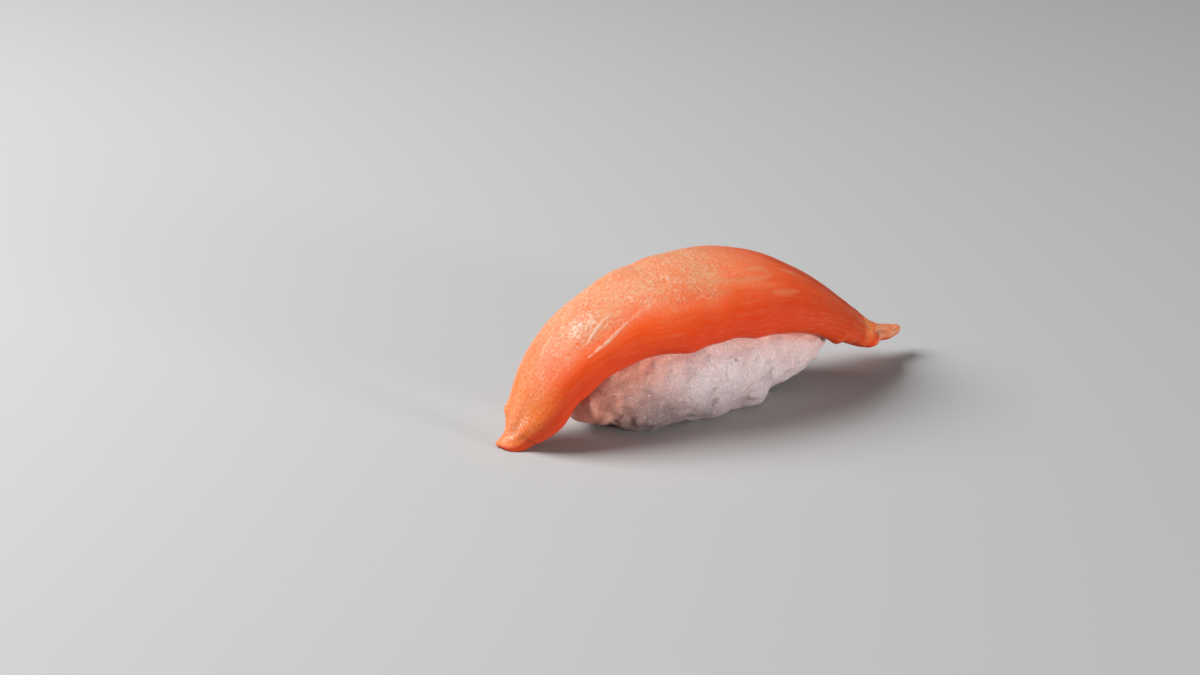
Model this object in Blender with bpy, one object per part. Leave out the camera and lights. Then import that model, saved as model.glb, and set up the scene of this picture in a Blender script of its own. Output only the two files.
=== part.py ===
"""Salmon nigiri: a thick slice of salmon bent over a hand-pressed block of sushi rice.

Blender 4.5, metres, +Z up. +X runs along the slice from its foot, the end that lies on the board, to its
torn tail, which hangs free. The origin is the middle of the footprint, on the board.
"""

import math

import bmesh
import bpy
import numpy as np
from mathutils import Matrix, Vector
from mathutils.bvhtree import BVHTree

MM = 0.001

# The rice block: rounded like a boat, widest at its belly and narrower where it stands.
RICE_MIDDLE_X = -1.8 * MM
RICE_HALF_LENGTH = 26.4 * MM
RICE_HALF_WIDTH = 11.0 * MM
RICE_BELLY_HEIGHT = 9.0 * MM
RICE_TOP_HEIGHT = 20.8 * MM
RICE_KEEL_DEPTH = 1.8 * MM
RICE_KEEL_LEAN = 0.42
RICE_PLAN_POWER = 2.4
RICE_RISE_POWER = 2.1
RICE_SEGMENTS = 26
RICE_RINGS = 12

# The grains that show, at the true size of a cooked short grain.
GRAIN_HALF_LENGTH = 3.1 * MM
GRAIN_HALF_WIDTH = 1.5 * MM
GRAIN_SIDES = 5
GRAIN_RINGS = 4
GRAIN_SINK = 0.25 * MM
GRAIN_PITCH = 2.75 * MM
GRAIN_TRIES = 9000
GRAIN_TILT = math.radians(12.0)
GRAIN_SEED = 11
SLOPE_STEP = 0.001  # radians, to take the block's slope under a grain

# The salmon slice. Each station gives the middle of its upper face, how far its near and far edges reach
# along the flesh from there, its thickness, how steeply its edges hang, and how far its near edge is drawn
# back towards the foot.
SLICE_STATIONS = (
    # x, z, near reach, far reach, thickness, skew (mm), edge angle (degrees)
    (-44.8, 0.4, 0.8, 0.8, 0.4, 0.0, 5.0),
    (-43.6, 1.0, 3.2, 2.4, 1.0, 0.6, 16.0),
    (-42.2, 4.3, 7.4, 5.4, 3.4, 2.4, 36.0),
    (-38.9, 12.2, 12.2, 8.8, 5.6, 4.4, 58.0),
    (-32.4, 20.6, 15.8, 12.4, 7.4, 4.6, 76.0),
    (-22.6, 26.3, 19.4, 15.0, 8.0, 1.4, 90.0),
    (-14.6, 29.0, 22.8, 17.2, 8.5, 0.0, 94.0),
    (-5.2, 29.9, 23.8, 18.4, 8.6, 0.0, 96.0),
    (8.8, 28.1, 22.4, 18.4, 8.4, 0.0, 94.0),
    (20.8, 22.0, 18.4, 15.6, 7.6, 0.0, 81.0),
    (29.8, 14.8, 13.6, 11.0, 6.2, 0.4, 60.0),
    (35.2, 9.9, 10.2, 7.0, 4.8, 1.2, 42.0),
    (37.6, 8.0, 7.9, 4.4, 3.8, 1.8, 30.0),
    (39.2, 7.0, 4.4, 2.6, 3.0, 1.2, 18.0),
    (42.2, 6.3, 2.6, 2.0, 2.4, 0.6, 8.0),
    (44.8, 5.8, 0.9, 1.0, 1.4, 0.0, 0.0),
)
SLICE_RINGS = 60
SLICE_SIDES = 30
SLICE_ROUNDNESS = 2.6
EDGE_BEND_POWER = 1.25
BEND_STEPS = 24

SEAT_GAP = 0.35 * MM
PRESS_STEP = 0.05 * MM
FLOOR_DEPTH = 5.0 * MM

SALMON_COLOUR = (0.80, 0.19, 0.055, 1.0)
SALMON_ROUGHNESS = 0.28
RICE_COLOUR = (0.74, 0.66, 0.62, 1.0)
RICE_ROUGHNESS = 0.42


def signed_power(value, power):
    """value raised to a power with its sign kept, for numbers and arrays."""
    return np.sign(value) * np.abs(value) ** power


def smooth_through(knots, values, places):
    """A curve through the values at the knots, read at the places: cubic pieces with three-point slopes."""
    knots, values = np.asarray(knots, float), np.asarray(values, float)
    steps = np.diff(knots)
    rises = np.diff(values) / steps
    slopes = np.empty_like(values)
    slopes[1:-1] = (rises[:-1] * steps[1:] + rises[1:] * steps[:-1]) / (steps[:-1] + steps[1:])
    slopes[0], slopes[-1] = rises[0], rises[-1]
    piece = np.clip(np.searchsorted(knots, places, side="right") - 1, 0, len(steps) - 1)
    width = steps[piece]
    t = (places - knots[piece]) / width
    return (
        (1 + 2 * t) * (1 - t) ** 2 * values[piece]
        + t * (1 - t) ** 2 * width * slopes[piece]
        + t * t * (3 - 2 * t) * values[piece + 1]
        + t * t * (t - 1) * width * slopes[piece + 1]
    )


def keel_shift(height):
    """How far the block leans towards the foot at a height below its belly."""
    return RICE_KEEL_LEAN * np.minimum(height - RICE_BELLY_HEIGHT, 0.0)


def rice_fill(points, margin=0.0):
    """How far out each point lies in the rice block: 1 on the surface of a block that is larger by margin."""
    x = np.abs(points[:, 0] - RICE_MIDDLE_X - keel_shift(points[:, 2])) / (RICE_HALF_LENGTH + margin)
    y = np.abs(points[:, 1]) / (RICE_HALF_WIDTH + margin)
    above = points[:, 2] > RICE_BELLY_HEIGHT
    reach = np.where(above, RICE_TOP_HEIGHT - RICE_BELLY_HEIGHT, RICE_BELLY_HEIGHT + RICE_KEEL_DEPTH) + margin
    z = np.abs(points[:, 2] - RICE_BELLY_HEIGHT) / reach
    plan = (x**RICE_PLAN_POWER + y**RICE_PLAN_POWER) ** (RICE_RISE_POWER / RICE_PLAN_POWER)
    return (plan + z**RICE_RISE_POWER) ** (1 / RICE_RISE_POWER)


def rice_point(turn, rise):
    """The point of the bare rice block at a turn about +Z and a rise above its belly, both in radians."""
    flat, up = signed_power(math.cos(rise), 2 / RICE_RISE_POWER), signed_power(math.sin(rise), 2 / RICE_RISE_POWER)
    reach = RICE_TOP_HEIGHT - RICE_BELLY_HEIGHT if rise > 0 else RICE_BELLY_HEIGHT + RICE_KEEL_DEPTH
    height = RICE_BELLY_HEIGHT + reach * up
    along = RICE_HALF_LENGTH * flat * signed_power(math.cos(turn), 2 / RICE_PLAN_POWER)
    across = RICE_HALF_WIDTH * flat * signed_power(math.sin(turn), 2 / RICE_PLAN_POWER)
    return Vector((RICE_MIDDLE_X + keel_shift(height) + along, across, height))


def ring_mesh(name, rings, first_tip, last_tip):
    """A closed mesh through rings of points, with a point closing each end. Rings run anticlockwise as seen
    from the last tip."""
    mesh = bmesh.new()
    loops = [[mesh.verts.new(p) for p in ring] for ring in rings]
    tips = mesh.verts.new(first_tip), mesh.verts.new(last_tip)
    count = len(loops[0])
    for k in range(count):
        follow = (k + 1) % count
        mesh.faces.new((tips[0], loops[0][follow], loops[0][k]))
        mesh.faces.new((tips[1], loops[-1][k], loops[-1][follow]))
        for low, high in zip(loops, loops[1:]):
            mesh.faces.new((low[k], low[follow], high[follow], high[k]))
    data = bpy.data.meshes.new(name)
    mesh.to_mesh(data)
    mesh.free()
    return data


def material(name, colour, roughness):
    made = bpy.data.materials.new(name)
    made.use_nodes = True
    shader = made.node_tree.nodes["Principled BSDF"]
    shader.inputs["Base Color"].default_value = colour
    shader.inputs["Roughness"].default_value = roughness
    shader.inputs["Metallic"].default_value = 0.0
    return made


def node(name, data, finish):
    made = bpy.data.objects.new(name, data)
    data.materials.clear()
    data.materials.append(finish)
    bpy.context.scene.collection.objects.link(made)
    return made


def slice_section(near, far, thickness, edge_angle):
    """The slice cut across: (across, outward, share of the reach) for each side, from the middle of the upper
    face. The flesh is bent more and more towards its edges, which hang at edge_angle."""
    angles = np.arange(SLICE_SIDES) * 2 * math.pi / SLICE_SIDES
    share = signed_power(np.cos(angles), 2 / SLICE_ROUNDNESS)
    depth = thickness * (1 - signed_power(np.sin(angles), 2 / SLICE_ROUNDNESS)) / 2
    reach = np.where(share > 0, far, near)
    middles = (np.arange(BEND_STEPS) + 0.5) / BEND_STEPS * np.abs(share)[:, None]
    bends = edge_angle * middles**EDGE_BEND_POWER
    step = (reach * np.abs(share) / BEND_STEPS)[:, None]
    across, drop = (np.cos(bends) * step).sum(axis=1), (np.sin(bends) * step).sum(axis=1)
    lean = edge_angle * np.abs(share) ** EDGE_BEND_POWER
    return np.sign(share) * (across - depth * np.sin(lean)), -drop - depth * np.cos(lean), share


def pressed_on_rice(points, inward):
    """Points inside the rice block, or nearer to it than the seat's gap, pushed out along the slice's depth."""
    inside = rice_fill(points, SEAT_GAP) < 1
    while inside.any():
        points[inside] -= inward * PRESS_STEP
        inside = rice_fill(points, SEAT_GAP) < 1
    return points


def slice_rings():
    """The rings of points of the slice, from its foot to its tail, and the tips that close it."""
    table = np.array(SLICE_STATIONS)
    table[:, :6] *= MM
    table[:, 6] = np.radians(table[:, 6])
    run = np.concatenate([[0], np.cumsum(np.hypot(*np.diff(table[:, :2], axis=0).T))])
    places = np.linspace(0, run[-1], SLICE_RINGS + 2)
    x, z, near, far, thickness, skew, edge_angle = (smooth_through(run, column, places) for column in table.T)
    slope = np.arctan2(np.gradient(z, places), np.gradient(x, places))
    rings = []
    for k in range(1, SLICE_RINGS + 1):
        across, outward, share = slice_section(near[k], far[k], thickness[k], edge_angle[k])
        tangent = np.array((math.cos(slope[k]), 0.0, math.sin(slope[k])))
        normal = np.array((-math.sin(slope[k]), 0.0, math.cos(slope[k])))
        ring = np.array((x[k], 0.0, z[k])) + np.outer(across, (0.0, 1.0, 0.0)) + np.outer(outward, normal)
        ring += np.outer(skew[k] * np.minimum(share, 0.0), tangent)
        ring = pressed_on_rice(ring, -normal)
        ring[:, 2] = np.maximum(ring[:, 2], 0.0)
        rings.append([Vector(p) for p in ring])
    tips = [Vector((x[k], 0.0, z[k] - thickness[k] / 2)) for k in (0, -1)]
    return rings, tips


def make_salmon():
    rings, tips = slice_rings()
    data = ring_mesh("salmon_slice", rings, *tips)
    data.shade_smooth()
    return node("salmon_slice", data, material("salmon", SALMON_COLOUR, SALMON_ROUGHNESS))


def rice_core():
    """The bare rice block, which reaches a little below the board until the board's plane trims it."""
    rises = [math.pi * ((k + 1) / (RICE_RINGS + 1) - 0.5) for k in range(RICE_RINGS)]
    turns = [2 * math.pi * k / RICE_SEGMENTS for k in range(RICE_SEGMENTS)]
    rings = [[rice_point(turn, rise) for turn in turns] for rise in rises]
    return ring_mesh("rice", rings, rice_point(0, -math.pi / 2), rice_point(0, math.pi / 2))


def grain_mesh():
    mesh = bmesh.new()
    bmesh.ops.create_uvsphere(mesh, u_segments=GRAIN_SIDES, v_segments=GRAIN_RINGS, radius=1.0)
    bmesh.ops.scale(mesh, vec=(GRAIN_HALF_WIDTH, GRAIN_HALF_WIDTH, GRAIN_HALF_LENGTH), verts=mesh.verts)
    data = bpy.data.meshes.new("grain")
    mesh.to_mesh(data)
    mesh.free()
    return data


def grain_places(salmon, grain):
    """Where the grains lie on the block: evenly spread, each clear of the salmon."""
    draw = np.random.default_rng(GRAIN_SEED)
    skin = BVHTree.FromPolygons(
        [v.co for v in salmon.data.vertices], [tuple(p.vertices) for p in salmon.data.polygons]
    )
    places, centres = [], []
    for _ in range(GRAIN_TRIES):
        turn, rise = draw.uniform(0, 2 * math.pi), math.asin(draw.uniform(-1, 1))
        spin, tilt = draw.uniform(0, math.pi), draw.uniform(-1, 1) * GRAIN_TILT
        foot = rice_point(turn, rise)
        if foot.z < -GRAIN_SINK or any((foot - c).length < GRAIN_PITCH for c in centres):
            continue
        along_turn = rice_point(turn + SLOPE_STEP, rise) - rice_point(turn - SLOPE_STEP, rise)
        along_rise = rice_point(turn, rise + SLOPE_STEP) - rice_point(turn, rise - SLOPE_STEP)
        out = along_turn.cross(along_rise).normalized()
        flat = Matrix.Rotation(spin, 3, out) @ along_turn.normalized()
        axis = (Matrix.Rotation(tilt, 3, out.cross(flat)) @ flat).normalized()
        side = out.cross(axis).normalized()
        turned = Matrix((side, axis.cross(side), axis)).transposed().to_4x4()
        place = Matrix.Translation(foot - out * GRAIN_SINK) @ turned
        if clear_of(skin, place, grain):
            places.append(place)
            centres.append(foot)
    return places


def clear_of(skin, place, grain):
    """Whether a grain keeps the seat's gap to the salmon's skin."""
    for vertex in grain.vertices:
        point = place @ vertex.co
        near, normal, _, distance = skin.find_nearest(point)
        if distance < SEAT_GAP or (point - near).dot(normal) < 0:
            return False
    return True


def floor_cutter():
    """A slab whose top is the board, to trim what reaches below it."""
    mesh = bmesh.new()
    bmesh.ops.create_cube(mesh, size=1.0)
    bmesh.ops.scale(mesh, vec=(4 * RICE_HALF_LENGTH, 6 * RICE_HALF_WIDTH, FLOOR_DEPTH), verts=mesh.verts)
    bmesh.ops.translate(mesh, vec=(0, 0, -FLOOR_DEPTH / 2), verts=mesh.verts)
    data = bpy.data.meshes.new("board_cutter")
    mesh.to_mesh(data)
    mesh.free()
    cutter = bpy.data.objects.new("board_cutter", data)
    cutter.hide_render = True
    cutter.display_type = "WIRE"
    bpy.context.scene.collection.objects.link(cutter)
    return cutter


def keep_largest_shell(data):
    """Drops loose scraps and sealed hollows, which are shells of their own."""
    mesh = bmesh.new()
    mesh.from_mesh(data)
    left, shells = set(mesh.faces), []
    while left:
        shell, edge = set(), [left.pop()]
        while edge:
            face = edge.pop()
            shell.add(face)
            fresh = {f for e in face.edges for f in e.link_faces} & left
            left -= fresh
            edge.extend(fresh)
        shells.append(shell)
    largest = max(shells, key=len)
    bmesh.ops.delete(mesh, geom=[f for f in mesh.faces if f not in largest], context="FACES")
    mesh.to_mesh(data)
    mesh.free()


def make_rice(salmon):
    rice = node("sushi_rice", rice_core(), material("rice", RICE_COLOUR, RICE_ROUGHNESS))
    grain = grain_mesh()
    grains = bpy.data.collections.new("grains")
    bpy.context.scene.collection.children.link(grains)
    for count, place in enumerate(grain_places(salmon, grain)):
        piece = bpy.data.objects.new(f"grain_{count}", grain)
        piece.matrix_world = place
        grains.objects.link(piece)
    cutter = floor_cutter()
    union = rice.modifiers.new("grains", "BOOLEAN")
    union.operation = "UNION"
    union.operand_type = "COLLECTION"
    union.collection = grains
    union.solver = "MANIFOLD"
    trim = rice.modifiers.new("board", "BOOLEAN")
    trim.operation = "DIFFERENCE"
    trim.object = cutter
    trim.solver = "MANIFOLD"
    bpy.context.view_layer.update()
    joined = bpy.data.meshes.new_from_object(rice.evaluated_get(bpy.context.evaluated_depsgraph_get()))
    rice.modifiers.clear()
    rice.data = joined
    keep_largest_shell(joined)
    joined.shade_flat()
    for piece in [*grains.objects, cutter]:
        bpy.data.objects.remove(piece)
    bpy.data.collections.remove(grains)
    return rice


def centre_over_origin(pieces):
    """Moves the pieces together so that the middle of their box stands over the origin."""
    corners = [v.co for piece in pieces for v in piece.data.vertices]
    middle = [(max(c[axis] for c in corners) + min(c[axis] for c in corners)) / 2 for axis in (0, 1)]
    for piece in pieces:
        piece.data.transform(Matrix.Translation((-middle[0], -middle[1], 0.0)))


def main():
    for old in list(bpy.data.objects):
        bpy.data.objects.remove(old)
    salmon = make_salmon()
    rice = make_rice(salmon)
    centre_over_origin((salmon, rice))


main()
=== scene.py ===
import math

import bmesh
import bpy
import numpy as np
from mathutils import Matrix, Vector, noise
from mathutils.bvhtree import BVHTree


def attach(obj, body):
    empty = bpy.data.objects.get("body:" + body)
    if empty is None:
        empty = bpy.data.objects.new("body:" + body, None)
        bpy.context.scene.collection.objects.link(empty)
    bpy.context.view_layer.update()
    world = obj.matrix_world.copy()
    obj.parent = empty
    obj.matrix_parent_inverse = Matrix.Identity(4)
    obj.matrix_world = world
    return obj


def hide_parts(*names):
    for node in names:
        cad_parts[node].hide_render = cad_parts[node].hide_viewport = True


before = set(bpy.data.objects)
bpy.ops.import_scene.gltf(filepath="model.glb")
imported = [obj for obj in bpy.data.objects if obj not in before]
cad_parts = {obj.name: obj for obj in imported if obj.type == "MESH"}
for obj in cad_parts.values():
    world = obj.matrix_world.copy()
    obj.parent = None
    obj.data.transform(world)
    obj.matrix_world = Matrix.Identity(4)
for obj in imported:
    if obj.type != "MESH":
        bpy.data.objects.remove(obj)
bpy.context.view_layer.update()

# The salmon: one thick slice of raw fillet, cut on the slant and bent over the rice by hand. Its foot lies on
# the board and its tail, where the fillet tore, hangs free. It is moist flesh that holds light, with fine
# lines of fat along it and a frosty, oily sheen on its back, which is painted into its colour as a pale band.
# The colour also carries painted glints and amber highlights, and painted shade on the hanging side, along
# the far rim and at the ends.
MM = 0.001
MIDDLE_Y = 0.83 * MM  # the slice's middle line, which lies beside the middle of the whole footprint
# x, z, near reach, far reach, thickness, skew (mm), edge angle (degrees), from the foot to the tail
SLICE_STATIONS = (
    (-44.8, 0.7, 0.8, 0.8, 0.6, 0.0, 5.0),
    (-43.9, 1.1, 2.6, 1.3, 1.1, 0.4, 12.0),
    (-42.7, 2.0, 4.3, 2.1, 1.9, 1.2, 22.0),
    (-41.6, 5.4, 7.5, 4.9, 3.6, 2.8, 38.0),
    (-38.9, 12.2, 12.3, 8.8, 5.6, 4.4, 58.0),
    (-32.4, 20.6, 15.8, 12.4, 7.4, 4.6, 76.0),
    (-22.6, 26.3, 19.4, 15.0, 8.0, 1.4, 90.0),
    (-14.6, 29.0, 23.7, 17.2, 8.5, 0.0, 94.0),
    (-5.2, 29.9, 23.5, 18.4, 8.6, 0.0, 96.0),
    (8.8, 28.1, 23.0, 18.4, 8.4, 0.0, 94.0),
    (20.8, 22.0, 18.4, 15.6, 7.6, 0.0, 81.0),
    (29.8, 14.8, 13.6, 11.0, 6.2, 0.4, 60.0),
    (35.2, 9.9, 10.2, 7.0, 4.8, 1.2, 42.0),
    (37.8, 7.9, 7.9, 4.6, 3.9, 1.8, 30.0),
    (39.0, 7.1, 4.5, 2.7, 3.1, 1.2, 18.0),
    (42.2, 6.3, 2.6, 2.0, 2.4, 0.6, 8.0),
    (44.8, 5.8, 0.9, 1.0, 1.4, 0.0, 0.0),
)
SLICE_RINGS = 400
WIDE_RUN = (0.45, 0.85)  # between these shares of the run the rings lie further apart
CLOSE_RINGS = 1.6  # how many times closer they lie elsewhere
TOP_SIDES, UNDER_SIDES = 188, 44
TOP_ENDS_AT = -0.35  # the sine of the angle round the section where the top's close sides end
USUAL_REACH, USUAL_DEPTH = 20, 8  # of the section, in mm
SLICE_ROUNDNESS = 2.6
EDGE_BEND_POWER = 1.25
BEND_STEPS, RUN_STEPS = 24, 2000
SEAT_GAP = 0.35 * MM
PRESS_STEP = 0.05 * MM
END_ROUNDING = 0.9 * MM

# The rice block under it, which the slice is pressed on.
RICE_MIDDLE_X = -1.8 * MM
RICE_HALF_LENGTH = 26.4 * MM
RICE_HALF_WIDTH = 11.0 * MM
RICE_BELLY_HEIGHT = 9.0 * MM
RICE_TOP_HEIGHT = 20.8 * MM
RICE_KEEL_DEPTH = 1.8 * MM
RICE_KEEL_LEAN = 0.42
RICE_PLAN_POWER = 2.4
RICE_RISE_POWER = 2.1


def signed_power(value, power):
    return np.sign(value) * np.abs(value) ** power


def smoothstep(low, high, value):
    t = np.clip((value - low) / (high - low), 0.0, 1.0)
    return t * t * (3 - 2 * t)


def smooth_through(knots, values, places):
    """A curve through the values at the knots, read at the places: cubic pieces with three-point slopes."""
    knots, values = np.asarray(knots, float), np.asarray(values, float)
    steps = np.diff(knots)
    rises = np.diff(values) / steps
    slopes = np.empty_like(values)
    slopes[1:-1] = (rises[:-1] * steps[1:] + rises[1:] * steps[:-1]) / (steps[:-1] + steps[1:])
    slopes[0], slopes[-1] = rises[0], rises[-1]
    piece = np.clip(np.searchsorted(knots, places, side="right") - 1, 0, len(steps) - 1)
    width = steps[piece]
    t = (places - knots[piece]) / width
    return (
        (1 + 2 * t) * (1 - t) ** 2 * values[piece]
        + t * (1 - t) ** 2 * width * slopes[piece]
        + t * t * (3 - 2 * t) * values[piece + 1]
        + t * t * (t - 1) * width * slopes[piece + 1]
    )


def keel_shift(height):
    """How far the rice leans towards the foot at a height below its belly."""
    return RICE_KEEL_LEAN * np.minimum(height - RICE_BELLY_HEIGHT, 0.0)


def rice_fill(points, margin):
    """How far out each point lies in the rice block: 1 on the surface of a block that is larger by margin."""
    x = np.abs(points[:, 0] - RICE_MIDDLE_X - keel_shift(points[:, 2])) / (RICE_HALF_LENGTH + margin)
    y = np.abs(points[:, 1] - MIDDLE_Y) / (RICE_HALF_WIDTH + margin)
    above = points[:, 2] > RICE_BELLY_HEIGHT
    reach = np.where(above, RICE_TOP_HEIGHT - RICE_BELLY_HEIGHT, RICE_BELLY_HEIGHT + RICE_KEEL_DEPTH) + margin
    z = np.abs(points[:, 2] - RICE_BELLY_HEIGHT) / reach
    plan = (x**RICE_PLAN_POWER + y**RICE_PLAN_POWER) ** (RICE_RISE_POWER / RICE_PLAN_POWER)
    return (plan + z**RICE_RISE_POWER) ** (1 / RICE_RISE_POWER)


def section_angles():
    """Angles round the slice's section, close together over the back and both edges, wider underneath."""
    fine = np.linspace(0, 2 * math.pi, 4001)
    across = USUAL_REACH * signed_power(np.cos(fine), 2 / SLICE_ROUNDNESS)
    down = USUAL_DEPTH / 2 * signed_power(np.sin(fine), 2 / SLICE_ROUNDNESS)
    length = np.hypot(np.diff(across), np.diff(down))
    middle = (fine[1:] + fine[:-1]) / 2
    top = np.sin(middle) > TOP_ENDS_AT
    density = np.where(top, TOP_SIDES / length[top].sum(), UNDER_SIDES / length[~top].sum())
    count = np.concatenate([[0], np.cumsum(length * density)])
    return np.interp(np.arange(TOP_SIDES + UNDER_SIDES), count, fine)


def slice_section(angles, near, far, thickness, edge_angle):
    """The slice cut across: across, outward, share of the reach and share of the depth for each angle."""
    share = signed_power(np.cos(angles), 2 / SLICE_ROUNDNESS)
    sunk = (1 - signed_power(np.sin(angles), 2 / SLICE_ROUNDNESS)) / 2
    depth = thickness * sunk
    reach = np.where(share > 0, far, near)
    middles = (np.arange(BEND_STEPS) + 0.5) / BEND_STEPS * np.abs(share)[:, None]
    bends = edge_angle * middles**EDGE_BEND_POWER
    step = (reach * np.abs(share) / BEND_STEPS)[:, None]
    across, drop = (np.cos(bends) * step).sum(axis=1), (np.sin(bends) * step).sum(axis=1)
    lean = edge_angle * np.abs(share) ** EDGE_BEND_POWER
    return np.sign(share) * (across - depth * np.sin(lean)), -drop - depth * np.cos(lean), share, sunk


def slice_surface():
    """Every ring of the slice as arrays: points, run from foot to tail (0 to 1), share across and depth."""
    table = np.array(SLICE_STATIONS)
    table[:, :6] *= MM
    table[:, 6] = np.radians(table[:, 6])
    run = np.concatenate([[0], np.cumsum(np.hypot(*np.diff(table[:, :2], axis=0).T))])
    steps = (np.arange(RUN_STEPS) + 0.5) / RUN_STEPS
    density = np.where((steps < WIDE_RUN[0]) | (steps > WIDE_RUN[1]), CLOSE_RINGS, 1.0)
    count = np.concatenate([[0], np.cumsum(density)]) / density.sum()
    places = np.interp(np.linspace(0, 1, SLICE_RINGS + 2), count, np.linspace(0, run[-1], RUN_STEPS + 1))
    x, z, near, far, thickness, skew, edge_angle = (smooth_through(run, column, places) for column in table.T)
    slope = np.arctan2(np.gradient(z, places), np.gradient(x, places))
    end = np.clip(np.minimum(places, run[-1] - places) / END_ROUNDING, 0, 1)
    taper = np.sqrt(1 - (1 - end) ** 2)
    angles = section_angles()
    points, runs, shares, depths = [], [], [], []
    for k in range(1, SLICE_RINGS + 1):
        across, outward, share, sunk = slice_section(
            angles, near[k] * taper[k], far[k] * taper[k], thickness[k] * taper[k], edge_angle[k]
        )
        tangent = np.array((math.cos(slope[k]), 0.0, math.sin(slope[k])))
        normal = np.array((-math.sin(slope[k]), 0.0, math.cos(slope[k])))
        sink = thickness[k] * (1 - taper[k]) / 2
        ring = np.array((x[k], MIDDLE_Y, z[k])) + np.outer(across, (0.0, 1.0, 0.0))
        ring += np.outer(outward - sink, normal)
        ring += np.outer(skew[k] * np.minimum(share, 0.0), tangent)
        inside = rice_fill(ring, SEAT_GAP) < 1
        while inside.any():
            ring[inside] += normal * PRESS_STEP
            inside = rice_fill(ring, SEAT_GAP) < 1
        points.append(ring)
        runs.append(np.full(len(angles), places[k] / run[-1]))
        shares.append(share)
        depths.append(sunk)
    tips = [np.array((x[k], MIDDLE_Y, z[k] - thickness[k] / 2)) for k in (0, -1)]
    return np.array(points), np.array(runs), np.array(shares), np.array(depths), tips, run[-1]


def lofted(name, rings, tips):
    """A closed mesh through the rings, with a point closing each end."""
    count, sides = rings.shape[:2]
    corners = np.concatenate([rings.reshape(-1, 3), tips])
    k, j = np.meshgrid(np.arange(count - 1), np.arange(sides), indexing="ij")
    follow = (j + 1) % sides
    quads = np.stack([k * sides + j, k * sides + follow, (k + 1) * sides + follow, (k + 1) * sides + j], -1)
    around = np.arange(sides)
    after = (around + 1) % sides
    last = (count - 1) * sides
    first_fan = np.stack([np.full(sides, count * sides), after, around], -1)
    last_fan = np.stack([np.full(sides, count * sides + 1), last + around, last + after], -1)
    faces = [*quads.reshape(-1, 4).tolist(), *first_fan.tolist(), *last_fan.tolist()]
    data = bpy.data.meshes.new(name)
    data.from_pydata(corners.tolist(), [], faces)
    data.update()
    return data


# Torn threads, each with its strength, and fine lines of fat, as (run from the foot, share across) with the
# near side negative.
THREADS = (
    (1.0, ((0.252, -0.500), (0.267, -0.446), (0.281, -0.405), (0.291, -0.373), (0.302, -0.365))),
    (1.0, ((0.243, -0.627), (0.267, -0.606), (0.282, -0.590), (0.305, -0.551), (0.317, -0.519))),
    (0.4, ((0.317, -0.519), (0.335, -0.492), (0.356, -0.456), (0.373, -0.437))),
    (0.5, ((0.271, -0.342), (0.283, -0.259))),
    (0.35, ((0.174, -0.099), (0.192, -0.080), (0.209, -0.068), (0.218, 0.010))),
)
FAT_LINES = (
    ((0.477, -0.420), (0.506, -0.426), (0.540, -0.444), (0.574, -0.439), (0.598, -0.427), (0.617, -0.401)),
    ((0.617, -0.401), (0.612, -0.350), (0.597, -0.314), (0.569, -0.340)),
    ((0.611, -0.558), (0.645, -0.545), (0.679, -0.515)),
    ((0.643, -0.289), (0.670, -0.290), (0.692, -0.315)),
)
# A low ridge and the crease beside it at the foot, and the line past which the slice carries painted shade,
# likewise.
FOOT_RIDGE = ((0.02, -0.40), (0.04, -0.50), (0.0725, -0.61), (0.109, -0.72))
FOOT_CREASE = ((0.02, -0.26), (0.045, -0.35), (0.07, -0.43), (0.10, -0.50))
FAR_RIM = ((0.45, 0.06), (0.60, 0.02), (0.64, -0.12), (0.70, -0.23))
FAR_RIM += ((0.775, -0.34), (0.836, -0.38), (0.885, -0.28))
# How frosted the back is along the run, which also sets how strong the painted sheen on it is.
FROST_AND_SHEEN_ALONG = ((0.02, 0.38), (0.10, 0.24), (0.17, 0.45), (0.25, 1.0), (0.33, 0.9), (0.43, 0.90), (0.50, 0.88))
FROST_AND_SHEEN_ALONG += ((0.57, 0.40), (0.66, 0.02), (0.74, 0.0))
# Stretches of the run: where each sets in and where it fades out.
RIDGE_RUN = ((0.0, 0.03), (0.08, 0.17))
CREASE_RUN = ((0.0, 0.03), (0.06, 0.10))
BODY_RUN = ((0.0, 0.06), (0.95, 1.0))
STRAND_RUN = ((0.915, 0.93), (0.965, 0.985))
END_SHADE_RUN = ((0.56, 0.86), (0.885, 0.91))
# Mounds on the slice: middle and spread along the run, middle and spread across it, height.
SHOULDER = ((0.405, 0.022), (0.2, 0.4), -0.40 * MM)
NUB = ((0.060, 0.010), (0.5, 0.22), 0.55 * MM)
# A glint patch and spot: painted highlights, whose height is their strength.
GLINT_PATCH = ((0.262, 0.020), (-0.28, 0.12), 1.0)
GLINT_SPOT = ((0.247, 0.007), (-0.29, 0.05), 0.8)
# A painted amber highlight on the tail's end, whose height is its strength.
TAIL_AMBER_HIGHLIGHT = ((0.900, 0.016), (-0.50, 0.30), 1.6)
# Soft waves in the flesh: how squeezed they are along, across and through it, size and height (mm), seed.
SWELLS = ((1.0, 1.6, 1.0), 9.0, 0.24, 1)
FOLDS = ((0.16, 1.0, 1.0), 1.7, 0.055, 2)
FINE_FOLDS = ((0.10, 1.0, 1.0), 0.7, 0.02, 3)
HEM_WAVES = ((1.0, 0.2, 0.2), 6.5, 0.5, 5)
HEM_BUMP_HEIGHT = 0.65 * MM
TORN_SPREAD, TORN_HEIGHT = 2.2 * MM, 0.40 * MM
BREAK_SPREAD = 1.1 * MM
WANDER_SPREAD, WANDER = 7 * MM, 0.10
THREAD_HALF_WIDTH, THREAD_HEIGHT = 0.50 * MM, 0.16 * MM
RIDGE_HEIGHT = 0.25 * MM


def soft_noise(points, scale, seed):
    """Perlin noise at points, in places of the given scale."""
    shift = Vector((seed * 7.3, seed * 3.1, seed * 5.7))
    return np.array([noise.noise(Vector(p) / scale + shift) for p in points])


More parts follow.
